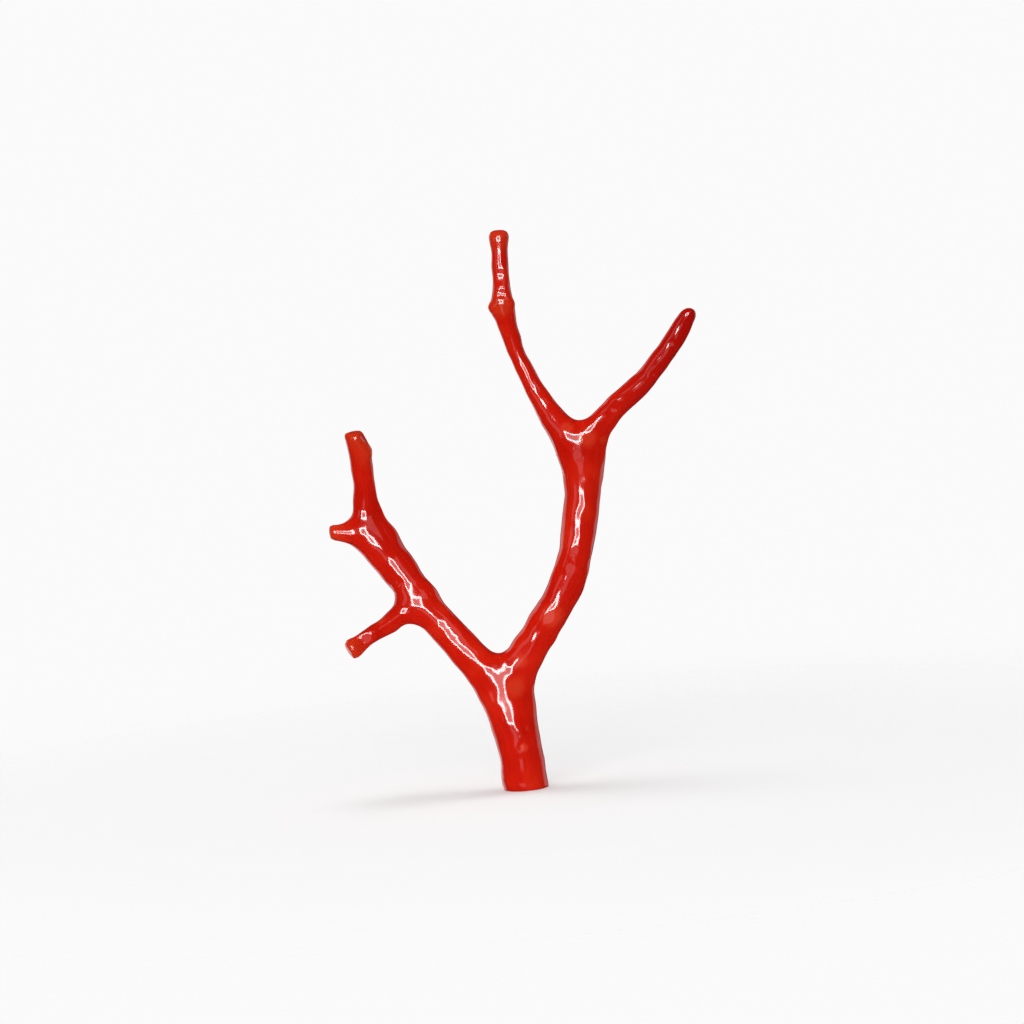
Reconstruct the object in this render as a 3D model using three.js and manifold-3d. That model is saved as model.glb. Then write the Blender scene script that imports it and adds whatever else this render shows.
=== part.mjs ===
// Red coral: one polished branch, sawn flat at its foot so that it stands on the cut.
// Millimetres, +Z up, the front seen along +Y. The origin is the middle of the cut.
// The branch is an implicit surface, round limbs that melt into each other at the forks.
// Its faceted skin is trimmed at the sawn ends and parted at the main forks.
import * as THREE from "three";
import { mergeVertices } from "three/addons/utils/BufferGeometryUtils.js";
import Module from "manifold-3d";

const wasm = await Module();
wasm.setup();

// Driving dimensions
const LEAN = THREE.MathUtils.degToRad(5.2); // turn about Y that brings the weight over the cut
const FOOT = [0.1, 0, 0.4]; // middle of the sawn foot, in the frame of the tables below
const SEAM = 0.3; // gap that parts two pieces at a fork
const FACET = 1.24; // edge length of the faceted skin
const SPREADING_ROUNDS = 4; // times that the skin's vertices are spread evenly
const LUMP_HEIGHT = 0.09; // how far the uneven skin rises and falls
const LUMP_LENGTH = 6.5; // length of one such swelling
const SAW_BLOCK = 14; // side of the block that each saw cut takes away
const CLEARANCE = 0.1; // nearest that a vertex of the skin comes to a cut, which keeps slivers away
const SPAN_STEPS = 4; // straight steps between two stations of a limb
const SLOPE_STEP = 0.02; // distance over which the skin's slope is measured
const CORAL_RED = 0xc41404;
const POLISH = 0.12; // roughness of the polished skin

// Limbs, from the foot up. A station is [across, depth, height, radius], and depth grows away
// from the viewer. A limb starts inside the one that bears it, and blend is the width over
// which the two melt together.
const LIMBS = {
  trunk_to_left_tip: {
    blend: 0,
    stations: [
      [0.4, 0.2, -3.2, 4.7],
      [0.1, 0, 0.4, 4.6],
      [-0.5, -0.4, 4.1, 4.45],
      [-1.1, -0.9, 8.15, 4.3],
      [-2.05, -1.25, 12.2, 4.12],
      [-3.6, -1, 16.1, 3.98],
      [-5.8, -0.3, 20, 3.9],
      [-8.4, 0.55, 23.9, 3.7],
      [-11.55, 1.4, 27.35, 3.5],
      [-14.35, 2.1, 30.35, 3.34],
      [-17.2, 2.75, 33.45, 3.26],
      [-20, 3.3, 36.45, 3.28],
      [-22.55, 4.05, 39.8, 3.4],
      [-25.1, 4.85, 43.3, 3.58],
      [-27.55, 5.55, 46.6, 3.6],
      [-29.55, 5.75, 49.7, 3.46],
      [-31.1, 5.4, 53.15, 3.08],
      [-31.95, 4.8, 56.6, 2.68],
      [-32.25, 4.2, 60.1, 2.26],
      [-32.65, 3.55, 63.75, 2.2],
      [-32.95, 3.1, 66.5, 2.26],
      [-33.25, 2.7, 68.7, 2.4],
      [-33.8, 2.3, 71.25, 2.38],
      [-34.3, 1.9, 73.45, 2.38],
    ],
  },
  left_stub: {
    blend: 4.2,
    stations: [
      [-29.55, 5.7, 49.15, 2.34],
      [-32.4, 5.2, 50.5, 2.24],
      [-34.85, 4.6, 51, 1.88],
      [-36.75, 4.1, 51.2, 1.7],
      [-38.6, 3.7, 51.3, 1.66],
      [-41.5, 3.2, 51.3, 1.66],
    ],
  },
  lower_left_twig: {
    blend: 3,
    stations: [
      [-20.95, 3.3, 37.65, 2.5],
      [-23.75, 2.4, 35.8, 2.42],
      [-25.75, 1.5, 34.6, 2.14],
      [-27.9, 0.4, 33.05, 1.86],
      [-30.4, -0.8, 31.45, 1.64],
      [-32.65, -1.9, 30, 1.7],
      [-34.35, -2.8, 28.8, 1.98],
      [-36.3, -3.7, 27.35, 2.2],
    ],
  },
  right_stem_to_top: {
    blend: 4.8,
    stations: [
      [-2.2, 0.6, 13.5, 2.8],
      [-2.2, 0.8, 17.95, 3.3],
      [-1.7, 0.5, 22.55, 3.56],
      [-0.1, 0, 26.95, 3.6],
      [2.3, -0.5, 31.05, 3.48],
      [4.55, -0.95, 35.1, 3.42],
      [6.85, -1.3, 38.85, 3.34],
      [8.6, -1.6, 43.2, 3.5],
      [9.75, -1.45, 47.75, 3.38],
      [10.45, -0.85, 52.1, 3.54],
      [10.95, -0.15, 56.4, 3.48],
      [11.25, 0.3, 60.3, 3.5],
      [11.35, 0.4, 64.3, 3.7],
      [10, 0.2, 68.1, 4],
      [8, 0.6, 71.1, 3.3],
      [6, 1.2, 73.6, 2.7],
      [3.55, 2, 77.1, 2.22],
      [1.35, 2.7, 80.9, 1.83],
      [-0.5, 3.2, 84.5, 1.67],
      [-2.2, 3.3, 88.2, 1.7],
      [-3.3, 3, 91.6, 1.88],
      [-4.2, 2.65, 94.6, 2.17],
      [-4.7, 2.4, 96.7, 2.4],
      [-4.85, 2.5, 99.1, 1.96],
      [-4.9, 2.75, 101.6, 1.7],
      [-5.1, 3, 104.3, 1.74],
      [-5.2, 3.15, 106.9, 1.62],
      [-5.35, 3.2, 108.6, 1.66],
      [-5.45, 3.25, 110.4, 1.92],
      [-5.5, 3.25, 112.6, 2.2],
    ],
  },
  knuckle: {
    blend: 0.8,
    stations: [
      [-4.6, 2.4, 96.4, 1.8],
      [-6.95, 1.95, 95.6, 1.05],
    ],
  },
  right_branch: {
    blend: 3.6,
    stations: [
      [11.15, 0.4, 63.9, 2.5],
      [12.35, 0.1, 67.95, 2.84],
      [14.2, -0.5, 72.45, 2.68],
      [17.2, -1.4, 76.3, 2.32],
      [19.9, -2.2, 78.9, 2.25],
      [22.85, -3.1, 81.8, 2.15],
      [25.4, -3.95, 84.9, 2.09],
      [27.45, -4.7, 87.9, 2],
      [29.25, -5.3, 90.55, 1.92],
      [30.85, -5.9, 93.35, 1.82],
      [31.9, -6.3, 95.3, 1.57],
    ],
  },
};

// Saw cuts at the ends: a point of the flat face, and the way that the face looks.
const SAWN_ENDS = {
  top_end: { at: [-5.5, 3.25, 111.4], faces: [-0.05, -0.27, 1] },
  left_tip_top: { at: [-34.6, 2.3, 71.5], faces: [-0.08, -0.15, 1] },
  left_tip_bevel: { at: [-31.8, 2.5, 69.6], faces: [0.86, -0.2, 0.5] },
  left_stub_end: { at: [-39.3, 3.6, 51.3], faces: [-0.99, -0.12, -0.13] },
  twig_end: { at: [-35.15, -3.1, 28.2], faces: [-0.82, -0.3, -0.52] },
};

// Forks, in the order of parting, each with the block that holds one piece: the middle of its
// parting face, the way the piece leaves it, and the block's length and width.
const FORKS = {
  middle_branch: { at: [7.6, 0.75, 71.9], along: [-0.62, 0.15, 0.76], long: 60, wide: 36 },
  right_branch: { at: [13.75, -0.25, 71.1], along: [0.5, -0.1, 0.84], long: 45, wide: 24 },
  right_stem: { at: [2.4, 0.2, 25.65], along: [0.23, 0.03, 0.97], long: 60, wide: 16 },
  lower_left_twig: { at: [-24.8, 2, 35.3], along: [-0.8, -0.4, -0.45], long: 26, wide: 13 },
  left_branch: { at: [-23.8, 4.35, 41.1], along: [-0.56, 0.17, 0.81], long: 60, wide: 34 },
  left_stem: { at: [-7.3, 0.1, 23.05], along: [-0.84, 0.15, 0.53], long: 45, wide: 24 },
};

// Points and directions of the tables above, turned into the frame of the standing branch.
const UPRIGHT = new THREE.Quaternion().setFromAxisAngle(new THREE.Vector3(0, 1, 0), LEAN);
const direction = ([x, y, z]) => new THREE.Vector3(x, y, z).normalize().applyQuaternion(UPRIGHT);
const point = ([x, y, z]) =>
  new THREE.Vector3(x - FOOT[0], y - FOOT[1], z - FOOT[2]).applyQuaternion(UPRIGHT);

// The faces of all cuts, both sides of each seam among them.
const DOWN = new THREE.Vector3(0, 0, -1);
const facePlane = (at, faces) => ({
  at,
  plane: new THREE.Plane().setFromNormalAndCoplanarPoint(faces, at),
});
const cutFaces = [
  facePlane(new THREE.Vector3(), DOWN),
  ...Object.values(SAWN_ENDS).map(({ at, faces }) => facePlane(point(at), direction(faces))),
  ...Object.values(FORKS).flatMap(({ at, along }) => {
    const away = direction(along);
    const behindSeam = point(at).addScaledVector(away, -SEAM);
    return [facePlane(point(at), away), facePlane(behindSeam, away)];
  }),
];

// A limb as short straight steps, each with its first radius and its change of radius.
function limbSteps({ stations, blend }) {
  const centreline = new THREE.CatmullRomCurve3(stations.map(point), false, "centripetal");
  const girth = new THREE.SplineCurve(stations.map((row, i) => new THREE.Vector2(i, row[3])));
  const count = (stations.length - 1) * SPAN_STEPS;
  const points = centreline.getPoints(count);
  const radii = girth.getPoints(count).map((sample) => sample.y);
  const steps = points.slice(1).map((end, i) => {
    const start = points[i];
    const run = end.clone().sub(start);
    return { start, run, runSquared: run.lengthSq(), radius: radii[i], swell: radii[i + 1] - radii[i] };
  });
  return { steps, blend, points, thickest: Math.max(...radii) };
}

const limbs = Object.values(LIMBS).map(limbSteps);

// Distance from a place to a limb's skin, negative inside.
function limbDistance(limb, x, y, z) {
  let nearest = Infinity;
  for (const { start, run, runSquared, radius, swell } of limb.steps) {
    const dx = x - start.x;
    const dy = y - start.y;
    const dz = z - start.z;
    const along = (dx * run.x + dy * run.y + dz * run.z) / runSquared;
    const t = Math.min(1, Math.max(0, along));
    const gap = Math.hypot(dx - t * run.x, dy - t * run.y, dz - t * run.z);
    nearest = Math.min(nearest, gap - radius - t * swell);
  }
  return nearest;
}

// Two distances as one, rounded where they meet over a width of blend.
function melt(a, b, blend) {
  const share = Math.max(0, blend - Math.abs(a - b)) / (blend || 1);
  return Math.min(a, b) - (share * share * blend) / 4;
}

// Slow swellings that keep the limbs from being perfectly round.
function lumps(x, y, z) {
  const wave = (2 * Math.PI) / LUMP_LENGTH;
  const broad = Math.sin(wave * x + 0.7) * Math.sin(wave * y + 1.9) * Math.sin(0.7 * wave * z);
  const short = Math.sin(1.7 * wave * (x + y)) * Math.sin(1.4 * wave * (z - y) + 0.4);
  return LUMP_HEIGHT * (broad + 0.6 * short);
}

// The whole branch: negative inside, zero on the skin.
function coralDistance(x, y, z) {
  const join = (skin, limb) => melt(skin, limbDistance(limb, x, y, z), limb.blend);
  return limbs.reduce(join, Infinity) - lumps(x, y, z);
}

// Outward direction of the skin near a place.
function skinNormal({ x, y, z }) {
  const e = SLOPE_STEP;
  return new THREE.Vector3(
    coralDistance(x + e, y, z) - coralDistance(x - e, y, z),
    coralDistance(x, y + e, z) - coralDistance(x, y - e, z),
    coralDistance(x, y, z + e) - coralDistance(x, y, z - e),
  ).normalize();
}

// A grid of distances around the whole branch.
function distanceGrid() {
  const box = new THREE.Box3();
  for (const { points, thickest } of limbs)
    box.union(new THREE.Box3().setFromPoints(points).expandByScalar(thickest + 2 * FACET));
  const cells = box.getSize(new THREE.Vector3()).divideScalar(FACET).ceil();
  const [nx, ny, nz] = cells.toArray().map((count) => count + 1);
  const index = (i, j, k) => i + nx * (j + ny * k);
  const place = (i, j, k) => new THREE.Vector3(i, j, k).multiplyScalar(FACET).add(box.min);
  const value = new Float32Array(nx * ny * nz);
  for (let k = 0; k < nz; k++)
    for (let j = 0; j < ny; j++)
      for (let i = 0; i < nx; i++) value[index(i, j, k)] = coralDistance(...place(i, j, k));
  return { nx, ny, nz, index, place, value };
}

const AXES = [
  [1, 0, 0],
  [0, 1, 0],
  [0, 0, 1],
];
const CELL_CORNERS = [0, 1].flatMap((c) => [0, 1].flatMap((b) => [0, 1].map((a) => [a, b, c])));
const QUAD_CORNERS = [
  [0, 0],
  [1, 0],
  [1, 1],
  [0, 1],
];

// Where the corners of a grid square lie inside and outside by turns, the skin would touch
// itself, so the weakest of the four changes sides.
function settle({ nx, ny, nz, index, value }) {
  const settleSquare = (i, j, k, axis) => {
    const b = AXES[(axis + 1) % 3];
    const c = AXES[(axis + 2) % 3];
    const corners = QUAD_CORNERS.map(([s, t]) =>
      index(i + s * b[0] + t * c[0], j + s * b[1] + t * c[1], k + s * b[2] + t * c[2]),
    );
    const inside = corners.map((corner) => value[corner] < 0);
    const byTurns = inside.every((side, n) => side !== inside[(n + 1) % 4]);
    if (!byTurns) return 0;
    const weakest = corners.reduce((a, d) => (Math.abs(value[a]) < Math.abs(value[d]) ? a : d));
    value[weakest] = -value[weakest];
    return 1;
  };
  let changes = 1;
  while (changes > 0) {
    changes = 0;
    for (let k = 0; k < nz - 1; k++)
      for (let j = 0; j < ny - 1; j++)
        for (let i = 0; i < nx - 1; i++)
          for (let axis = 0; axis < 3; axis++) changes += settleSquare(i, j, k, axis);
  }
}

// Mean of the places where the skin crosses the edges of one grid cell.
function cellMiddle({ index, place, value }, i, j, k) {
  const middle = new THREE.Vector3();
  let crossings = 0;
  for (const [a, b, c] of CELL_CORNERS)
    for (const [u, v, w] of AXES) {
      if (a + u > 1 || b + v > 1 || c + w > 1) continue;
      const from = value[index(i + a, j + b, k + c)];
      const to = value[index(i + a + u, j + b + v, k + c + w)];
      if (from < 0 === to < 0) continue;
      const share = from / (from - to);
      middle.add(place(i + a + share * u, j + b + share * v, k + c + share * w));
      crossings += 1;
    }
  return middle.divideScalar(crossings);
}

// A surface net: one vertex in each cell that the skin crosses, and one quad around each grid
// edge that it crosses.
function surfaceNet(grid) {
  const { nx, ny, nz, index, value } = grid;
  const vertices = [];
  const quads = [];
  const vertexOfCell = new Map();
  const vertexAt = (i, j, k) => {
    const cell = index(i, j, k);
    if (!vertexOfCell.has(cell)) vertexOfCell.set(cell, vertices.push(cellMiddle(grid, i, j, k)) - 1);
    return vertexOfCell.get(cell);
  };
  const crossEdge = (i, j, k, axis) => {
    const [u, v, w] = AXES[axis];
    const inside = value[index(i, j, k)] < 0;
    if (inside === value[index(i + u, j + v, k + w)] < 0) return;
    const b = AXES[(axis + 1) % 3];
    const c = AXES[(axis + 2) % 3];
    const quad = QUAD_CORNERS.map(([s, t]) =>
      vertexAt(i - s * b[0] - t * c[0], j - s * b[1] - t * c[1], k - s * b[2] - t * c[2]),
    );
    quads.push(inside ? quad : quad.reverse());
  };
  for (let k = 1; k < nz - 1; k++)
    for (let j = 1; j < ny - 1; j++)
      for (let i = 1; i < nx - 1; i++) [0, 1, 2].forEach((axis) => crossEdge(i, j, k, axis));
  return { vertices, quads };
}

// Spreads the net's vertices evenly and sets each one on the skin.
function spread({ vertices, quads }) {
  const neighbours = vertices.map(() => new Set());
  for (const quad of quads)
    quad.forEach((vertex, n) => {
      const next = quad[(n + 1) % 4];
      neighbours[vertex].add(next);
      neighbours[next].add(vertex);
    });
  for (let round = 0; round < SPREADING_ROUNDS; round++) {
    const means = neighbours.map((ring) => {
      const sum = new THREE.Vector3();
      for (const n of ring) sum.add(vertices[n]);
      return sum.divideScalar(ring.size);
    });
    means.forEach((mean, n) => {
      vertices[n] = mean.addScaledVector(skinNormal(mean), -coralDistance(...mean));
    });
  }
}

// Moves each vertex that nearly touches a cut away from it.
function clearCuts({ vertices }) {
  for (const vertex of vertices)
    for (const { at, plane } of cutFaces) {
      const gap = plane.distanceToPoint(vertex);
      if (Math.abs(gap) > CLEARANCE || vertex.distanceTo(at) > SAW_BLOCK / 2) continue;
      vertex.addScaledVector(plane.normal, (gap < 0 ? -CLEARANCE : CLEARANCE) - gap);
    }
}

// The branch's whole skin, each quad as two triangles along its shorter diagonal.
function coralSkin() {
  const grid = distanceGrid();
  settle(grid);
  const net = surfaceNet(grid);
  spread(net);
  clearCuts(net);
  const { vertices, quads } = net;
  const triangles = quads.flatMap(([a, b, c, d]) =>
    vertices[a].distanceTo(vertices[c]) < vertices[b].distanceTo(vertices[d])
      ? [a, b, c, a, c, d]
      : [a, b, d, b, c, d],
  );
  return new THREE.BufferGeometry().setFromPoints(vertices).setIndex(triangles);
}

// A closed geometry as a solid that can be cut.
function solidOf(geometry) {
  geometry.deleteAttribute("normal");
  geometry.deleteAttribute("uv");
  const { attributes, index } = mergeVertices(geometry);
  const vertProperties = new Float32Array(attributes.position.array);
  const triVerts = new Uint32Array(index.array);
  return new wasm.Manifold(new wasm.Mesh({ numProp: 3, vertProperties, triVerts }));
}

// A block that runs along a direction, with the middle of its near face at a point.
function block(at, along, long, wide) {
  const turn = new THREE.Quaternion().setFromUnitVectors(new THREE.Vector3(0, 0, 1), along);
  const geometry = new THREE.BoxGeometry(wide, wide, long).translate(0, 0, long / 2);
  return solidOf(geometry.applyQuaternion(turn).translate(...at));
}

// A solid as a named mesh.
function piece(name, solid) {
  const { vertProperties, triVerts } = solid.getMesh();
  const geometry = new THREE.BufferGeometry();
  geometry.setAttribute("position", new THREE.BufferAttribute(vertProperties, 3));
  geometry.setIndex(new THREE.BufferAttribute(triVerts, 1));
  geometry.computeVertexNormals();
  const polishedCoral = new THREE.MeshStandardMaterial({ color: CORAL_RED, roughness: POLISH });
  const mesh = new THREE.Mesh(geometry, polishedCoral);
  mesh.name = name;
  return mesh;
}

// The skin, sawn flat at the foot and at the ends.
function sawnCoral() {
  const foot = block(new THREE.Vector3(), DOWN, SAW_BLOCK, SAW_BLOCK);
  const saw = (solid, { at, faces }) =>
    solid.subtract(block(point(at), direction(faces), SAW_BLOCK, SAW_BLOCK));
  return Object.values(SAWN_ENDS).reduce(saw, solidOf(coralSkin()).subtract(foot));
}

const coral = new THREE.Group();
coral.name = "red_coral";
let rest = sawnCoral();
for (const [name, { at, along, long, wide }] of Object.entries(FORKS)) {
  const away = direction(along);
  const face = point(at);
  coral.add(piece(name, rest.intersect(block(face, away, long, wide))));
  const behindSeam = face.clone().addScaledVector(away, -SEAM);
  rest = rest.subtract(block(behindSeam, away, long + SEAM, wide));
}
coral.add(piece("trunk", rest));

export default coral;
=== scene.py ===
"""Red coral branch: the polished skin, its colour and its light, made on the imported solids.

Metres, +Z up. The camera stands on the -Y side, and +X is to its right.
"""
import math

import bmesh
import bpy
import numpy as np
from mathutils import Matrix, Vector, noise
from mathutils.bvhtree import BVHTree
from mathutils.kdtree import KDTree


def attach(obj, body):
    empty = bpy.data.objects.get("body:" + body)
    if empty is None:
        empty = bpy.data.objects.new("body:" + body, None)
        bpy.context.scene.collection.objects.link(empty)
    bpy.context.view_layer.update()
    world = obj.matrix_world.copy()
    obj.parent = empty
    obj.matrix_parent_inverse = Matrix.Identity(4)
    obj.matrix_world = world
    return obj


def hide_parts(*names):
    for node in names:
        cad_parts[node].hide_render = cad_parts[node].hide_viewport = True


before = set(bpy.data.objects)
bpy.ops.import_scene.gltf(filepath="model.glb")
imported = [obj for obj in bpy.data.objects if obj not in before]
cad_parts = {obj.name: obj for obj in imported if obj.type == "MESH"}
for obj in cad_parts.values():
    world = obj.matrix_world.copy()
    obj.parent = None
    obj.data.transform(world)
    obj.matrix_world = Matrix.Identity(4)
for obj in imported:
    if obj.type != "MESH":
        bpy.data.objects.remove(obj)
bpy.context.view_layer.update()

MM = 0.001
SMALLEST_LENGTH = 1e-12             # no direction is divided by less than this

# The photograph's view
LEAN = math.radians(5.2)            # the branch stands turned by this much, and the camera turns with it
LOOK_DOWN = math.radians(5.0)
LENS_MM = 150.0
SENSOR_MM = 36.0
CLIP_START = 10.0 * MM
PHOTO_SIDE = 1024
PIXEL = 0.2 * MM                    # what one pixel of the photograph covers at the branch
FOOT_PIXEL = (526.5, 788.0)         # the middle of the foot in the photograph
SAME_PLACE = 1.0                    # points that are this many pixels apart count as one place there

# The solids' cuts
WELD = 0.001 * MM
SEAM = 0.3 * MM                     # gap that the solids keep at each fork
OVERLAP = 0.1 * MM                  # how far the closed cuts run into each other
FORK_AREA = 1.5 * MM * MM           # a flat area larger than this that faces another solid is a fork's cut
SAWN_AREA = 6.0 * MM * MM           # elsewhere, one larger than this is a sawn end, and not a facet
CUT_FLATNESS = 0.01 * MM
CUT_TURN = 0.9998                   # cosine of the largest turn between triangles of one flat area
CUT_TRIANGLES = 4                   # a flat area has more triangles than this
FORK_LOOK = 1.5 * SEAM              # how far a cut looks for another solid
FORK_FACING = -0.9                  # cosine below which two faces look at each other

# The skin
VOXEL = 0.2 * MM
ROUNDING_ROUNDS = 12                # rounds that round the sawn edges
TIP_ROUNDING_ROUNDS = 26            # more of them at the tips, which are polished rounder than the foot
TIP_ROUNDING_REACH = (0.9 * MM, 1.8 * MM)
TIPS_FROM_HEIGHT = 25.0 * MM
EASING_ROUNDS = 90                  # rounds that melt the solids' facets
REFILL_ROUNDS = 70                  # rounds that spread what the easing took away
CHORD_LOSS = 0.05 * MM              # how far flat facets lie inside the round skin
EDGE_KEPT = (0.15 * MM, 1.0 * MM)   # from a sawn edge: untouched up to the first, free from the second
EDGE_STEP = 0.15 * MM
SPLIT_REACH = 5 * VOXEL             # skin that is nearer than this to a fork's cut is split by its plane
SOLID_REACH = 2.0 * MM              # no part of the skin is further than this from its solid

# Swells, and the shallow dimples that a hand polish leaves
SWELL_SIZE = 3.6 * MM
SWELL_HEIGHT = 0.20 * MM
DIMPLE_SIZE = 3.0 * MM
DIMPLE_DEPTH = 0.10 * MM
DIMPLE_LEVEL = 0.4                  # where a dimple crosses the skin, as a share of its depth
DIMPLE_EASING = 24
SHADING_EASING = 12                 # rounds that calm the normals of the small quads

# Where the front of the skin faces another way than on a round limb, as the photograph's highlights
# show: a place there in pixels, a radius, and the turns up and right in degrees, or down and left below 0
TURNS = (
    (582, 434, 4.2 * MM, -13.0, 8.0),
    (611, 408, 3.6 * MM, -12.0, 0.0),
    (518, 672, 3.8 * MM, -11.0, 0.0),
    (508, 664, 2.6 * MM, -4.0, 10.0),
    (550, 628, 3.4 * MM, -8.0, 0.0),
    (572, 562, 4.4 * MM, -10.0, 0.0),
    (374, 540, 4.4 * MM, 10.0, 5.0),
    (367, 519, 3.0 * MM, 12.0, 4.0),
    (686, 320, 2.4 * MM, -16.0, 0.0),
    (366, 642, 3.0 * MM, -9.0, 0.0),
)
TURN_FACING = (0.15, 0.7)           # skin that faces the viewer less than the first stays where it is

# Small flats that the polishing left, each seen in the photograph as a soft pale patch:
# its place there in pixels, and its radius
FLATS = (
    (523, 748, 0.8 * MM), (527, 727, 0.6 * MM), (550, 620, 1.4 * MM), (568, 569, 1.2 * MM),
    (577, 551, 1.0 * MM), (577, 456, 1.0 * MM), (615, 412, 1.0 * MM), (503, 272, 0.9 * MM),
    (503, 290, 1.0 * MM), (674, 346, 0.6 * MM), (655, 376, 0.7 * MM), (396, 583, 0.8 * MM),
    (368, 638, 1.8 * MM),
)
FLAT_BLEND = (0.45, 1.9)            # in radii: flat up to the first, untouched from the second
FLAT_DEPTH = 0.06 * MM
FLAT_REACH = (-1.5 * MM, -0.8 * MM)  # skin further back than the first is left alone

# Small knobs and pin-head pits: a place in the photograph, and for the knobs a radius and a height
KNOBS = (
    (489, 308, 1.7 * MM, 0.45 * MM), (513, 303, 1.7 * MM, 0.40 * MM),
    (370, 450, 2.4 * MM, 0.45 * MM), (345, 433, 1.2 * MM, 0.25 * MM),
)
PITS = ((601, 446), (604, 452), (528, 765), (532, 781), (507, 286), (345, 539), (398, 622), (520, 735))
PIT_RADIUS = 0.40 * MM
PIT_HEIGHT = -0.14 * MM

# Where the growth lines show through the polish: a place in the photograph, and a radius
STREAKS = (
    (588, 438, 3.2 * MM), (592, 465, 2.6 * MM), (384, 524, 2.0 * MM), (376, 517, 1.4 * MM),
    (502, 285, 2.4 * MM), (527, 383, 1.8 * MM), (383, 630, 2.2 * MM),
)

# Painted reflections, pale patches painted into the colour where the polish shows a soft pale sheen: a place
# in the photograph, and a radius
PAINTED_REFLECTION_SPOTS = (
    (516, 687, 2.8 * MM), (520, 662, 2.2 * MM), (552, 617, 3.2 * MM), (523, 748, 1.2 * MM),
    (567, 427, 1.8 * MM), (588, 438, 2.6 * MM), (371, 606, 1.6 * MM),
)
SPOT_CORE = 0.3                     # share of a spot's radius in which it is at its clearest

# Colour that follows the branch: warm sawn tips and spots, and painted shade that makes the right branch
# darker outwards
WARM_REACH = (0.3 * MM, 5.0 * MM)
WARM_SPOTS = ((500, 307, 3.0 * MM), (604, 441, 1.2 * MM))
PAINTED_SHADE_ACROSS = (16.0 * MM, 40.0 * MM)

# The way that the coral grew, read from the solids
GROWTH_REACH = 4.5 * MM
GROWTH_STRIDE = 3
GROWTH_EASING = 60
AROUND_EASING = 4                   # rounds that calm the normals which say how far around a point lies

# The coral's colour and polish. A ramp's stop is a place and a colour.
MOTTLE = {"Scale": 110.0, "Detail": 3.0, "Roughness": 0.55}
MOTTLE_RAMP = (
    (0.30, (0.56, 0.0050, 0.0003)),
    (0.52, (0.64, 0.0085, 0.0008)),
    (0.72, (0.72, 0.0200, 0.0040)),
)
LINE_RAMP = ((0.35, (0.45, 0.001, 0.0)), (0.65, (0.85, 0.03, 0.008)))
LINE_SHARE = 0.10
TINTS_AND_PAINTED_LIGHT = (                      # a part of the tints and painted light, the colour that it brings, and how much of it
    ("X", (0.66, 0.034, 0.007), 0.75),
    # painted shade: the right branch made darker outwards
    ("Y", (0.42, 0.0022, 0.0002), 0.85),
    # painted reflection: the pale patches at the listed spots
    ("Z", (0.74, 0.046, 0.016), 0.7),
)
LINES_AROUND = 9.0                  # how close the fine lines lie around the branch
STREAKS_AROUND = 4.2                # how close the broader streaks lie
LINES_UPWARD = 160.0                # how soon both change along the height, per metre
LINE_DETAIL = 2.0
LINE_BUMP = {"Strength": 0.10, "Distance": 0.10 * MM}
STREAK_BUMP = {"Strength": 0.32, "Distance": 0.12 * MM}
POLISH = {
    "Roughness": 0.30,
    "Specular IOR Level": 0.0,
    "Coat Weight": 1.0,
    "Coat Roughness": 0.10,
    "Coat IOR": 1.5,
}

# The floor
FLOOR_RADIUS = 0.40
FLOOR_SIDES = 96
FLOOR_FADE = (0.06, 0.22)           # from the foot: whole up to the first, clear from the second
FLOOR_GREY = 0.80
FLOOR_GLOW = 0.205

# Lights. A way is an azimuth and a rise in degrees, as direction() reads them.
LIGHT_AIM = Vector((0.0, 0.0, 0.055))
LIGHT_DISTANCE = 1.2
LAMP_WAY = (-6.0, 15.5)             # the lamp that the polish shows as bright loops
LAMP_HALF = 0.30
LAMP_STRIP = 0.12
LAMP_RADIANCE = 27.0
LAMP_MIDDLE_RADIANCE = 3.0          # a dimmer field inside the frame
OVERHEAD_PLACE = (-0.05, 0.10, 0.75)
OVERHEAD_SIDE = 0.28
OVERHEAD_RADIANCE = 8.5
FRONT_PLACE = (-0.25, -0.9, 0.35)
FRONT_SIDE = 0.7
FRONT_RADIANCE = 3.0
LOW_PANEL_WAY = (-4.0, -14.0)       # the dim panel that the flats show
PANELS = (                          # dim surfaces round about, which show in the polish alone
    ("panel_low", LOW_PANEL_WAY, (0.36, 0.30), 1.0),
    ("panel_right", (28.0, 38.0), (0.45, 0.45), 1.0),
    ("panel_left", (-50.0, 10.0), (0.35, 0.60), 0.9),
    ("panel_right_behind", (132.0, 5.0), (0.8, 0.9), 0.6),
    ("panel_left_behind", (-138.0, 5.0), (0.8, 0.9), 0.8),
    ("panel_left_below", (-150.0, -20.0), (0.6, 0.4), 0.9),
)
WORLD_IN_POLISH = 0.025
WORLD_FILL = 0.42
WORLD_SEEN = 0.96


def smoothstep(values, low, high):
    share = np.clip((values - low) / (high - low), 0.0, 1.0)
    return share * share * (3.0 - 2.0 * share)


def unit(vectors):
    lengths = np.linalg.norm(vectors, axis=1, keepdims=True)
    return vectors / np.maximum(lengths, SMALLEST_LENGTH)


def dots(left, right):
    return np.einsum("ij,ij->i", left, right)


def point_tree(points):
    """A tree that finds the nearest of some points."""
    tree = KDTree(len(points))
    for index, point in enumerate(points):
        tree.insert(Vector(point), index)
    tree.balance()
    return tree


def add_object(name, data):
    made = bpy.data.objects.new(name, data)
    bpy.context.collection.objects.link(made)
    return made


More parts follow.
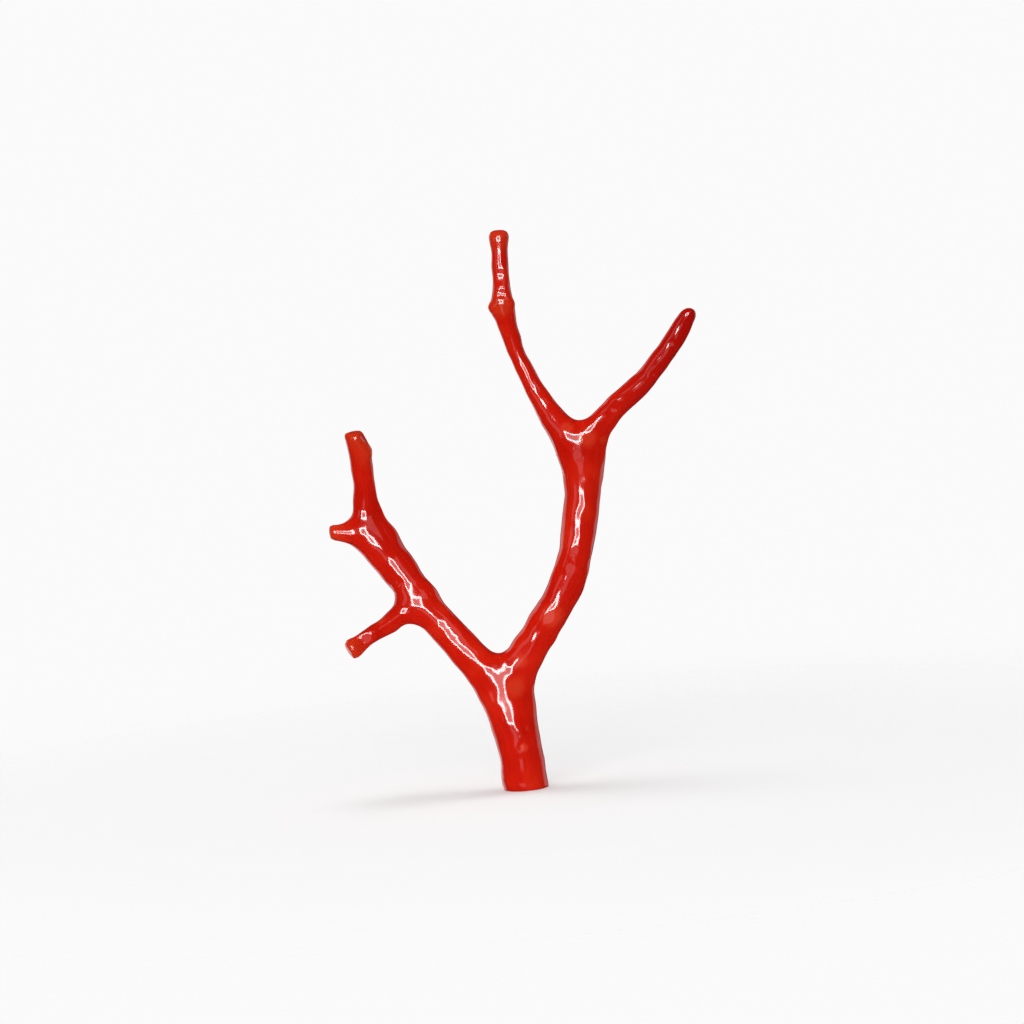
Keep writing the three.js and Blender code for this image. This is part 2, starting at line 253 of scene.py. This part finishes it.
def view_axes():
    """The photograph's viewpoint, and its right, up and forward directions."""
    turn = Matrix.Rotation(LEAN, 3, "Y")
    right = turn @ Vector((1, 0, 0))
    up = turn @ Vector((0, math.sin(LOOK_DOWN), math.cos(LOOK_DOWN)))
    forward = turn @ Vector((0, math.cos(LOOK_DOWN), -math.sin(LOOK_DOWN)))
    middle = PHOTO_SIDE / 2
    across = (middle - FOOT_PIXEL[0]) * PIXEL
    above = (FOOT_PIXEL[1] - middle) * PIXEL
    distance = PHOTO_SIDE * PIXEL * LENS_MM / SENSOR_MM
    place = right * across + up * above - forward * distance
    return place, right, up, forward


def photo_places(points):
    """Where points lie in the photograph, in pixels, and how far they are from the viewer."""
    place, right, up, forward = (np.array(axis) for axis in view_axes())
    steps = points - place
    depths = steps @ forward
    focus = PHOTO_SIDE * LENS_MM / SENSOR_MM
    across = PHOTO_SIDE / 2 + focus * (steps @ right) / depths
    down = PHOTO_SIDE / 2 - focus * (steps @ up) / depths
    return np.stack([across, down], axis=1), depths


def direction(azimuth, rise):
    """From the branch towards a light: azimuth 0 is the viewer's side and 90 is to the right, in degrees."""
    azimuth = math.radians(azimuth)
    rise = math.radians(rise)
    level = Vector((math.sin(azimuth), -math.cos(azimuth), 0.0)) * math.cos(rise)
    return Matrix.Rotation(LEAN, 3, "Y") @ (level + Vector((0.0, 0.0, math.sin(rise))))


class Solid:
    """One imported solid: welded corners, triangles, their normals, and its flat cuts."""

    def __init__(self, cad):
        shape = bmesh.new()
        shape.from_mesh(cad.data)
        bmesh.ops.remove_doubles(shape, verts=shape.verts, dist=WELD)
        bmesh.ops.triangulate(shape, faces=shape.faces)
        self.points = np.array([v.co[:] for v in shape.verts])
        shape.verts.index_update()
        self.faces = np.array([[v.index for v in f.verts] for f in shape.faces])
        shape.free()
        corners = self.points[self.faces]
        crosses = np.cross(corners[:, 1] - corners[:, 0], corners[:, 2] - corners[:, 0])
        self.centres = corners.mean(axis=1)
        self.areas = np.linalg.norm(crosses, axis=1) / 2
        self.normals = unit(crosses)
        self.tree = BVHTree.FromPolygons(self.points.tolist(), self.faces.tolist())
        self.fork_cuts = []
        self.sawn_ends = []

    def flat_cuts(self):
        """Groups of triangles that share a plane and are together larger than most facets of the skin."""
        left = np.ones(len(self.faces), bool)
        for face in np.argsort(-self.areas):
            if not left[face]:
                continue
            heights = (self.centres - self.centres[face]) @ self.normals[face]
            turned = self.normals @ self.normals[face] < CUT_TURN
            group = np.flatnonzero(left & ~turned & (abs(heights) < CUT_FLATNESS))
            if len(group) > CUT_TRIANGLES and self.areas[group].sum() > FORK_AREA:
                left[group] = False
                yield group

    def faces_across_a_fork(self, group, others):
        """Whether most of a cut looks at another solid over the seam."""
        facing = 0
        for face in group:
            centre = Vector(self.centres[face])
            normal = Vector(self.normals[face])
            hits = [other.tree.find_nearest(centre, FORK_LOOK) for other in others]
            facing += any(hit[0] is not None and hit[1].dot(normal) < FORK_FACING for hit in hits)
        return facing > len(group) / 2

    def sort_cuts(self, others):
        for group in self.flat_cuts():
            if self.faces_across_a_fork(group, others):
                self.fork_cuts.append(group)
            elif self.areas[group].sum() > SAWN_AREA:
                self.sawn_ends.append(group)

    def closed_points(self):
        """The corners, with the cuts at the forks pushed past the middle of their gap."""
        pushed = self.points.copy()
        for group in self.fork_cuts:
            rim = np.unique(self.faces[group])
            pushed[rim] += self.normals[group[0]] * (SEAM / 2 + OVERLAP)
        return pushed

    def sawn_edge_points(self):
        """Points along the outline of each sawn end."""
        for group in self.sawn_ends:
            sides = {}
            for corners in self.faces[group]:
                for start, end in zip(corners, np.roll(corners, -1)):
                    key = (min(start, end), max(start, end))
                    sides[key] = sides.get(key, 0) + 1
            for (start, end), uses in sides.items():
                if uses == 1:
                    first, last = self.points[start], self.points[end]
                    steps = max(2, int(np.linalg.norm(last - first) / EDGE_STEP))
                    for share in np.linspace(0.0, 1.0, steps):
                        yield first + (last - first) * share


class Skin:
    """One closed mesh of quads over the whole branch, held as arrays."""

    def __init__(self, mesh):
        self.points = np.empty(len(mesh.vertices) * 3)
        mesh.vertices.foreach_get("co", self.points)
        self.points = self.points.reshape(-1, 3)
        self.edges = np.empty(len(mesh.edges) * 2, np.int64)
        mesh.edges.foreach_get("vertices", self.edges)
        self.edges = self.edges.reshape(-1, 2)
        self.quads = np.array([polygon.vertices[:] for polygon in mesh.polygons])
        ends = self.edges.ravel()
        self.neighbour_counts = np.maximum(np.bincount(ends, minlength=len(self.points)), 1)

    def around(self, values):
        """The mean of the values at each point's neighbours."""
        if values.ndim == 2:
            return np.stack([self.around(column) for column in values.T], axis=1)
        first, second = self.edges.T
        count = len(self.points)
        sums = np.bincount(first, values[second], count) + np.bincount(second, values[first], count)
        return sums / self.neighbour_counts

    def eased(self, values, rounds):
        """The values, each brought halfway to its neighbours' mean in every round."""
        for _ in range(rounds):
            values = (values + self.around(values)) / 2
        return values

    def ease_points(self, weight, rounds):
        """Eases the points themselves, each as far as its weight allows."""
        for _ in range(rounds):
            self.points = self.points + weight[:, None] * (self.around(self.points) - self.points) / 2

    def normals(self):
        corners = self.points[self.quads]
        crosses = np.cross(corners[:, 2] - corners[:, 0], corners[:, 3] - corners[:, 1])
        sums = np.zeros_like(self.points)
        for corner in self.quads.T:
            for axis in range(3):
                sums[:, axis] += np.bincount(corner, crosses[:, axis], len(self.points))
        return unit(sums)


def remeshed(solids):
    """The solids closed at the forks and melted into one skin of small quads."""
    points = []
    faces = []
    start = 0
    for solid in solids.values():
        points.append(solid.closed_points())
        faces.append(solid.faces + start)
        start += len(solid.points)
    mesh = bpy.data.meshes.new("rough_skin")
    mesh.from_pydata(np.concatenate(points).tolist(), [], np.concatenate(faces).tolist())
    shape = add_object("rough_skin", mesh)
    remesh = shape.modifiers.new("remesh", "REMESH")
    remesh.mode = "VOXEL"
    remesh.voxel_size = VOXEL
    remesh.adaptivity = 0.0
    evaluated = shape.evaluated_get(bpy.context.evaluated_depsgraph_get())
    skin = Skin(evaluated.to_mesh())
    bpy.data.objects.remove(shape)
    bpy.data.meshes.remove(mesh)
    return skin


def freedom(skin, solids):
    """How freely each point may move, from 0 on sawn ends to 1, and its distance from a sawn edge."""
    edges = point_tree([point for solid in solids.values() for point in solid.sawn_edge_points()])
    distances = np.array([edges.find(Vector(point))[2] for point in skin.points])
    free = smoothstep(distances, *EDGE_KEPT)
    sawn_faces = []
    sawn_points = []
    start = 0
    for solid in solids.values():
        for group in solid.sawn_ends:
            sawn_faces += (solid.faces[group] + start).tolist()
        sawn_points += solid.points.tolist()
        start += len(solid.points)
    ends = BVHTree.FromPolygons(sawn_points, sawn_faces)
    on_end = [ends.find_nearest(Vector(point), VOXEL / 2)[0] is not None for point in skin.points]
    free[np.array(on_end)] = 0.0
    return free, distances


def melt_facets(skin, free, edge_distances):
    """Smooths the facets away and gives back the girth that smoothing takes."""
    before = skin.points.copy()
    skin.points = skin.eased(skin.points, ROUNDING_ROUNDS)
    at_tips = 1.0 - smoothstep(edge_distances, *TIP_ROUNDING_REACH)
    at_tips *= skin.points[:, 2] > TIPS_FROM_HEIGHT
    skin.ease_points(at_tips, TIP_ROUNDING_ROUNDS)
    skin.ease_points(free, EASING_ROUNDS)
    normals = skin.normals()
    lost = skin.eased(dots(before - skin.points, normals), REFILL_ROUNDS)
    skin.points = skin.points + normals * ((lost + CHORD_LOSS) * free)[:, None]


def swell_heights(points):
    scaled = points / SWELL_SIZE
    return np.array([noise.noise(Vector(point)) for point in scaled]) * SWELL_HEIGHT


def dimple_heights(points):
    """Shallow hollows side by side, each lowest in its middle."""
    scaled = points / DIMPLE_SIZE
    nearest = np.array([noise.voronoi(Vector(point))[0][0] for point in scaled])
    return (np.square(nearest) - DIMPLE_LEVEL) * DIMPLE_DEPTH


def roughen(skin, free):
    heights = swell_heights(skin.points) + skin.eased(dimple_heights(skin.points), DIMPLE_EASING)
    skin.points = skin.points + skin.normals() * (heights * free)[:, None]


def skin_point(skin, across, down):
    """The foremost point of the skin at a place in the photograph."""
    pixels, depths = photo_places(skin.points)
    gaps = np.hypot(pixels[:, 0] - across, pixels[:, 1] - down)
    near = np.flatnonzero(gaps < gaps.min() + SAME_PLACE)
    return skin.points[near[np.argmin(depths[near])]]


def turn_skin(skin):
    """Turns the front of the skin at the listed places, and leaves its outline alone."""
    right, up, forward = (np.array(axis) for axis in view_axes()[1:])
    for across, down, radius, rise, swing in TURNS:
        steps = skin.points - skin_point(skin, across, down)
        above = steps @ up
        beside = steps @ right
        share = np.exp(-(above**2 + beside**2) / (2 * radius**2))
        share *= smoothstep(-(skin.normals() @ forward), *TURN_FACING)
        recession = above * math.tan(math.radians(rise)) + beside * math.tan(math.radians(swing))
        skin.points = skin.points + np.outer(recession * share, forward)


def rub_flats(skin):
    """Rubs each flat into the skin, turned so that it shows the dim panel."""
    viewer = np.array(view_axes()[0])
    panel = np.array(LIGHT_AIM + direction(*LOW_PANEL_WAY) * LIGHT_DISTANCE)
    for across, down, radius in FLATS:
        middle = skin_point(skin, across, down)
        to_viewer, to_panel = unit(np.array([viewer - middle, panel - middle]))
        facing = unit(np.array([to_viewer + to_panel]))[0]
        steps = skin.points - middle
        heights = steps @ facing
        reaches = np.sqrt(np.maximum(dots(steps, steps) - np.square(heights), 0.0))
        share = 1.0 - smoothstep(reaches, FLAT_BLEND[0] * radius, FLAT_BLEND[1] * radius)
        share *= smoothstep(heights, *FLAT_REACH)
        skin.points = skin.points - np.outer((heights + FLAT_DEPTH) * share, facing)


def spot_gaps(skin, across, down):
    """How far each point of the skin is from a place in the photograph."""
    return np.linalg.norm(skin.points - skin_point(skin, across, down), axis=1)


def raise_spots(skin, spots):
    """Lifts the skin at listed spots, or sinks it where the height is below zero."""
    normals = skin.normals()
    for across, down, radius, height in spots:
        heights = height * (1.0 - smoothstep(spot_gaps(skin, across, down), 0.0, radius))
        skin.points = skin.points + normals * heights[:, None]


def spot_shares(skin, spots):
    """How near each point of the skin is to a listed spot: 1 in its core and 0 outside its radius."""
    share = np.zeros(len(skin.points))
    for across, down, radius in spots:
        gaps = spot_gaps(skin, across, down)
        share = np.maximum(share, 1.0 - smoothstep(gaps, SPOT_CORE * radius, radius))
    return share


def tint_and_painted_light_shares(skin, edge_distances):
    """How warm each point is at the sawn tips and spots, how much painted shade it has out to the right, and
    how much pale painted reflection it has at spots.
    """
    warm = 1.0 - smoothstep(edge_distances, *WARM_REACH)
    warm *= skin.points[:, 2] > TIPS_FROM_HEIGHT
    warm = np.maximum(warm, spot_shares(skin, WARM_SPOTS))
    # painted shade: darker the further out the right branch reaches
    painted_shade = smoothstep(skin.points[:, 0], *PAINTED_SHADE_ACROSS)
    # painted reflection: pale patches at the listed spots
    return np.stack([warm, painted_shade, spot_shares(skin, PAINTED_REFLECTION_SPOTS)], axis=1)


def growth_directions(skin, solids):
    """The direction of the branch at each point of the skin, from the spread of the solids' corners."""
    corners = np.concatenate([solid.points for solid in solids.values()])
    samples = corners[::GROWTH_STRIDE]
    tensors = []
    for sample in samples:
        steps = corners - sample
        weights = np.exp(-dots(steps, steps) / (2 * GROWTH_REACH**2))
        steps = steps - np.average(steps, axis=0, weights=weights)
        spread = np.einsum("i,ij,ik->jk", weights, steps, steps)
        axis = np.linalg.eigh(spread)[1][:, -1]
        tensors.append(np.outer(axis, axis)[np.triu_indices(3)])
    tree = point_tree(samples)
    nearest = [tree.find(Vector(point))[1] for point in skin.points]
    eased = skin.eased(np.array(tensors)[nearest], GROWTH_EASING)
    full = np.empty((len(eased), 3, 3))
    for column, (row, side) in enumerate(zip(*np.triu_indices(3))):
        full[:, row, side] = eased[:, column]
        full[:, side, row] = eased[:, column]
    axes = np.linalg.eigh(full)[1][:, :, -1]
    return axes * np.where(axes[:, 2:] < 0.0, -1.0, 1.0)


def angles_around(skin, solids):
    """Where each point lies around its branch, as the cosine and sine of an angle from the far side."""
    axes = growth_directions(skin, solids)
    normals = skin.eased(skin.normals(), AROUND_EASING)
    far = np.array([[0.0, 1.0, 0.0]])
    back = unit(far - axes * axes[:, 1:2])
    side = np.cross(axes, back)
    return unit(np.stack([dots(normals, back), dots(normals, side)], axis=1))


def add_vectors(mesh, name, values):
    layer = mesh.attributes.new(name, "FLOAT_VECTOR", "POINT")
    layer.data.foreach_set("vector", np.ascontiguousarray(values, np.float32).ravel())


def cut_at_forks(skin, solids, vectors):
    """A mesh of the skin with an edge along the middle of each fork's gap."""
    mesh = bpy.data.meshes.new("skin")
    mesh.from_pydata(skin.points.tolist(), [], skin.quads.tolist())
    for name, values in vectors.items():
        add_vectors(mesh, name, values)
    whole = bmesh.new()
    whole.from_mesh(mesh)
    bpy.data.meshes.remove(mesh)
    for solid in solids.values():
        for group in solid.fork_cuts:
            split_at_cut(whole, solid, group)
    return whole


def split_at_cut(whole, solid, group):
    """Splits the skin near one cut by the plane in the middle of its gap."""
    normal = Vector(solid.normals[group[0]])
    middle = Vector(solid.centres[group[0]]) + normal * SEAM / 2
    cut = BVHTree.FromPolygons(solid.points.tolist(), solid.faces[group].tolist())
    near = []
    for face in whole.faces:
        if cut.find_nearest(face.calc_center_median(), SPLIT_REACH)[0] is not None:
            near.append(face)
    parts = set(near)
    for face in near:
        parts.update(face.edges)
        parts.update(face.verts)
    bmesh.ops.bisect_plane(whole, geom=list(parts), dist=WELD, plane_co=middle, plane_no=normal)


def nearest_solid(point, solids):
    reaches = {}
    for name, solid in solids.items():
        hit = solid.tree.find_nearest(point, SOLID_REACH)
        if hit[0] is not None:
            reaches[name] = hit[3]
    return min(reaches, key=reaches.get)


def pieces_of(whole, solids):
    """The skin as one closed mesh for each solid."""
    faces_of = {name: [] for name in solids}
    for face in whole.faces:
        faces_of[nearest_solid(face.calc_center_median(), solids)].append(face)
    for name, faces in faces_of.items():
        yield name, piece_mesh(name + "_skin", faces, whole.verts.layers.float_vector)


def piece_mesh(name, faces, layers):
    """A closed mesh of some of the skin's faces, shaded as the one skin that they were cut from."""
    used = {}
    for face in faces:
        for vert in face.verts:
            used.setdefault(vert, len(used))
    mesh = bpy.data.meshes.new(name)
    mesh.from_pydata([v.co[:] for v in used], [], [[used[v] for v in f.verts] for f in faces])
    for kept in ("growth", "tints_and_painted_light"):
        add_vectors(mesh, kept, [v[layers[kept]][:] for v in used])
    normals = [v[layers["shade"]].normalized()[:] for v in used]
    close_cuts(mesh)
    mesh.polygons.foreach_set("use_smooth", [True] * len(mesh.polygons))
    mesh.normals_split_custom_set_from_vertices(normals)
    return mesh


def close_cuts(mesh):
    """Fills the open ends with flat faces that lie on the neighbour's."""
    shape = bmesh.new()
    shape.from_mesh(mesh)
    rims = [edge for edge in shape.edges if edge.is_boundary]
    filled = bmesh.ops.holes_fill(shape, edges=rims, sides=0)
    bmesh.ops.triangulate(shape, faces=filled["faces"])
    shape.to_mesh(mesh)
    shape.free()


def empty_tree(owner):
    """The emptied node tree of a material or of the world."""
    owner.use_nodes = True
    owner.node_tree.nodes.clear()
    return owner.node_tree


def node(tree, kind, inputs=(), **settings):
    """Adds a shader node, and sets its inputs to values or links them to other nodes' outputs."""
    made = tree.nodes.new("ShaderNode" + kind)
    for name, value in settings.items():
        setattr(made, name, value)
    for name, value in dict(inputs).items():
        if isinstance(value, bpy.types.NodeSocket):
            tree.links.new(value, made.inputs[name])
        else:
            made.inputs[name].default_value = value
    return made


def product(tree, left, right):
    return node(tree, "Math", {0: left, 1: right}, operation="MULTIPLY").outputs[0]


def mix(tree, share, first, second):
    return node(tree, "MixRGB", {"Fac": share, "Color1": first, "Color2": second}).outputs["Color"]


def grey(level):
    return (level, level, level, 1.0)


def ramp(tree, factor, stops):
    made = node(tree, "ValToRGB", {"Fac": factor})
    elements = made.color_ramp.elements
    while len(elements) < len(stops):
        elements.new(1.0)
    for element, (place, colour) in zip(elements, stops):
        element.position = place
        element.color = (*colour, 1.0)
    return made.outputs["Color"]


def growth_noise(tree, growth, place, around):
    """Noise drawn out along the growth, and as close around the branch as the last value says."""
    turns = node(tree, "SeparateXYZ", {"Vector": growth}).outputs
    height = node(tree, "SeparateXYZ", {"Vector": place}).outputs["Z"]
    stretched = node(tree, "CombineXYZ", {
        "X": product(tree, turns["X"], around),
        "Y": product(tree, turns["Y"], around),
        "Z": product(tree, height, LINES_UPWARD),
    }).outputs["Vector"]
    made = node(tree, "TexNoise", {"Vector": stretched, "Scale": 1.0, "Detail": LINE_DETAIL})
    return made.outputs["Fac"]


def coral_colour(tree, place, lines):
    """One deep red, softly mottled and lined, with warmer parts, painted shade that makes the right branch
    darker, and pale painted reflections.
    """
    mottle = node(tree, "TexNoise", {"Vector": place, **MOTTLE}).outputs["Fac"]
    colour = mix(tree, LINE_SHARE, ramp(tree, mottle, MOTTLE_RAMP), ramp(tree, lines, LINE_RAMP))
    # warm tips and spots, painted shade on the right branch, and pale painted reflections
    tints_and_painted_light = node(tree, "Attribute", attribute_name="tints_and_painted_light").outputs["Vector"]
    tint_and_painted_light_parts = node(tree, "SeparateXYZ", {"Vector": tints_and_painted_light}).outputs
    for part, tint, share in TINTS_AND_PAINTED_LIGHT:
        colour = mix(tree, product(tree, tint_and_painted_light_parts[part], share), colour, (*tint, 1.0))
    return colour


def coral_material():
    """Polished coral, with fine lines along the growth and broader streaks in its polish."""
    material = bpy.data.materials.new("polished_coral")
    tree = empty_tree(material)
    place = node(tree, "TexCoord").outputs["Object"]
    growth = node(tree, "Attribute", attribute_name="growth").outputs["Vector"]
    lines = growth_noise(tree, growth, place, LINES_AROUND)
    clearness = node(tree, "SeparateXYZ", {"Vector": growth}).outputs["Z"]
    streaks = product(tree, growth_noise(tree, growth, place, STREAKS_AROUND), clearness)
    surface = node(tree, "BsdfPrincipled", {
        "Base Color": coral_colour(tree, place, lines),
        "Normal": node(tree, "Bump", {"Height": lines, **LINE_BUMP}).outputs["Normal"],
        "Coat Normal": node(tree, "Bump", {"Height": streaks, **STREAK_BUMP}).outputs["Normal"],
        **POLISH,
    })
    node(tree, "OutputMaterial", {"Surface": surface.outputs["BSDF"]})
    return material


def shaped_skin(solids):
    """The finished skin, and the vectors that each of its points keeps for colour and shading."""
    skin = remeshed(solids)
    free, edge_distances = freedom(skin, solids)
    melt_facets(skin, free, edge_distances)
    around = angles_around(skin, solids)
    roughen(skin, free)
    raise_spots(skin, KNOBS)
    turn_skin(skin)
    rub_flats(skin)
    raise_spots(skin, [(across, down, PIT_RADIUS, PIT_HEIGHT) for across, down in PITS])
    return skin, {
        "growth": np.column_stack([around, spot_shares(skin, STREAKS)]),
        "shade": skin.eased(skin.normals(), SHADING_EASING),
        "tints_and_painted_light": tint_and_painted_light_shares(skin, edge_distances),
    }


def make_coral():
    solids = {name: Solid(cad) for name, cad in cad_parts.items()}
    for solid in solids.values():
        solid.sort_cuts([other for other in solids.values() if other is not solid])
    skin, vectors = shaped_skin(solids)
    whole = cut_at_forks(skin, solids, vectors)
    material = coral_material()
    for name, mesh in pieces_of(whole, solids):
        mesh.materials.append(material)
        piece = add_object(name + "_skin", mesh)
        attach(piece, "root")
        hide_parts(name)
    whole.free()


def make_camera():
    place, right, up, forward = view_axes()
    data = bpy.data.cameras.new("camera")
    data.lens = LENS_MM
    data.sensor_width = SENSOR_MM
    data.clip_start = CLIP_START
    camera = add_object("camera", data)
    facing = Matrix((right, up, -forward)).transposed().to_4x4()
    camera.matrix_world = Matrix.Translation(place) @ facing
    bpy.context.scene.camera = camera


def floor_material():
    """Pale grey that fades into the background."""
    material = bpy.data.materials.new("floor")
    tree = empty_tree(material)
    place = node(tree, "TexCoord").outputs["Object"]
    distance = node(tree, "VectorMath", {0: place}, operation="LENGTH").outputs["Value"]
    fade = node(tree, "MapRange", {
        "Value": distance,
        "From Min": FLOOR_FADE[0],
        "From Max": FLOOR_FADE[1],
    }, interpolation_type="SMOOTHSTEP")
    pale = node(tree, "BsdfDiffuse", {"Color": grey(FLOOR_GREY)})
    glow = node(tree, "Emission", {"Color": grey(1.0), "Strength": FLOOR_GLOW})
    lit = node(tree, "AddShader", {0: pale.outputs["BSDF"], 1: glow.outputs["Emission"]})
    clear = node(tree, "BsdfTransparent")
    mixed = node(tree, "MixShader", {
        0: fade.outputs["Result"],
        1: lit.outputs["Shader"],
        2: clear.outputs["BSDF"],
    })
    node(tree, "OutputMaterial", {"Surface": mixed.outputs["Shader"]})
    return material


def make_floor():
    shape = bmesh.new()
    bmesh.ops.create_circle(shape, cap_ends=True, radius=FLOOR_RADIUS, segments=FLOOR_SIDES)
    mesh = bpy.data.meshes.new("floor")
    shape.to_mesh(mesh)
    shape.free()
    mesh.materials.append(floor_material())
    floor = add_object("floor", mesh)
    floor.visible_glossy = False


def area_light(name, place, size, radiance, diffuse=True, glossy=True):
    """A rectangular light that faces the branch, with its brightness given per area."""
    data = bpy.data.lights.new(name, "AREA")
    data.shape = "RECTANGLE"
    data.size, data.size_y = size
    data.energy = radiance * math.pi * size[0] * size[1]
    light = add_object(name, data)
    light.location = place
    light.rotation_euler = (LIGHT_AIM - Vector(place)).to_track_quat("-Z", "Y").to_euler()
    light.visible_camera = False
    light.visible_diffuse = diffuse
    light.visible_glossy = glossy
    return light


def make_frame_lamp():
    """A square frame of four strips with a dimmer middle, which the polish shows as loops."""
    towards = direction(*LAMP_WAY)
    centre = LIGHT_AIM + towards * LIGHT_DISTANCE
    across = Vector((0.0, 0.0, 1.0)).cross(towards).normalized()
    upward = towards.cross(across)
    facing = Matrix((across, upward, towards)).transposed()
    upright = (LAMP_STRIP, 2 * LAMP_HALF + LAMP_STRIP)
    level = (2 * LAMP_HALF + LAMP_STRIP, LAMP_STRIP)
    inside = (2 * LAMP_HALF - LAMP_STRIP, 2 * LAMP_HALF - LAMP_STRIP)
    for name, shift, size, radiance in (
        ("frame_left", -across * LAMP_HALF, upright, LAMP_RADIANCE),
        ("frame_right", across * LAMP_HALF, upright, LAMP_RADIANCE),
        ("frame_top", upward * LAMP_HALF, level, LAMP_RADIANCE),
        ("frame_bottom", -upward * LAMP_HALF, level, LAMP_RADIANCE),
        ("frame_middle", Vector((0.0, 0.0, 0.0)), inside, LAMP_MIDDLE_RADIANCE),
    ):
        light = area_light(name, centre + shift, size, radiance, diffuse=False)
        light.rotation_euler = facing.to_euler()


def make_lights():
    area_light("overhead", OVERHEAD_PLACE, (OVERHEAD_SIDE, OVERHEAD_SIDE), OVERHEAD_RADIANCE, glossy=False)
    area_light("front", FRONT_PLACE, (FRONT_SIDE, FRONT_SIDE), FRONT_RADIANCE, glossy=False)
    make_frame_lamp()
    for name, way, size, radiance in PANELS:
        area_light(name, LIGHT_AIM + direction(*way) * LIGHT_DISTANCE, size, radiance, diffuse=False)


def make_world():
    """Pale all round for the eye and as a fill, and dim in the polish."""
    world = bpy.data.worlds.new("studio")
    bpy.context.scene.world = world
    tree = empty_tree(world)
    rays = node(tree, "LightPath").outputs
    strength = node(tree, "MapRange", {
        "Value": rays["Is Diffuse Ray"],
        "To Min": WORLD_IN_POLISH,
        "To Max": WORLD_FILL,
    }).outputs["Result"]
    lit = node(tree, "Background", {"Color": grey(1.0), "Strength": strength})
    seen = node(tree, "Background", {"Color": grey(WORLD_SEEN), "Strength": 1.0})
    mixed = node(tree, "MixShader", {
        0: rays["Is Camera Ray"],
        1: lit.outputs["Background"],
        2: seen.outputs["Background"],
    })
    node(tree, "OutputWorld", {"Surface": mixed.outputs["Shader"]})


make_coral()
make_camera()
make_floor()
make_lights()
make_world()
bpy.context.scene.view_settings.view_transform = "Standard"
